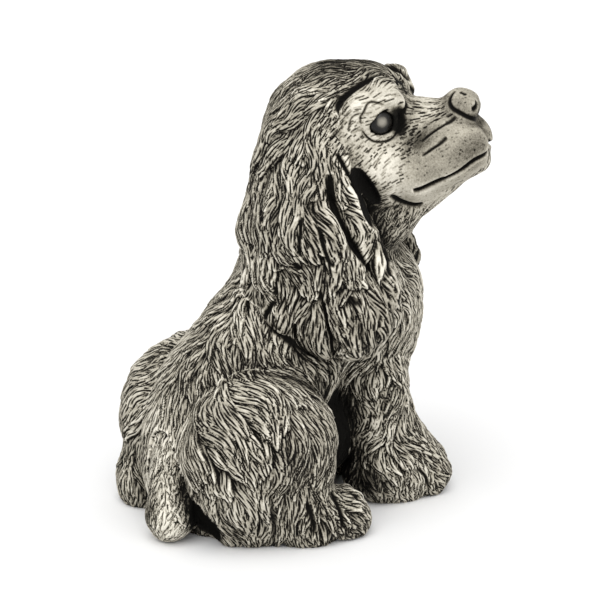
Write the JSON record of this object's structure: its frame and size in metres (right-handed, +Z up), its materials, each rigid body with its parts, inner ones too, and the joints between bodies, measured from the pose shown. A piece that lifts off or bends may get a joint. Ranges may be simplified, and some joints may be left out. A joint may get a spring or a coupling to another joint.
{
  "type": "dog figurine",
  "caption": "Sitting spaniel figurine with a lifted, turned head, long ears and carved fur, cast in parts and luted on a flat base.",
  "frame": {"origin": "middle of the figure's footprint, on the surface that it stands on", "axes": "+X the way the chest points, +Y the dog's left, +Z up"},
  "size_m": [0.222, 0.1614, 0.2925],
  "materials": {
    "fur": "matte",
    "face": "matte",
    "ear": "matte",
    "slab": "matte",
    "eye": "gloss"
  },
  "bodies": {
    "root": {"trunk": "fur", "head": "face", "ear_right": "ear", "ear_left": "ear", "foreleg_right": "fur", "foreleg_left": "fur", "hindleg_right": "fur", "hindleg_left": "fur", "tail": "fur", "eye_right": "eye", "eye_left": "eye", "base_slab": "slab"}
  },
  "joints": []
}
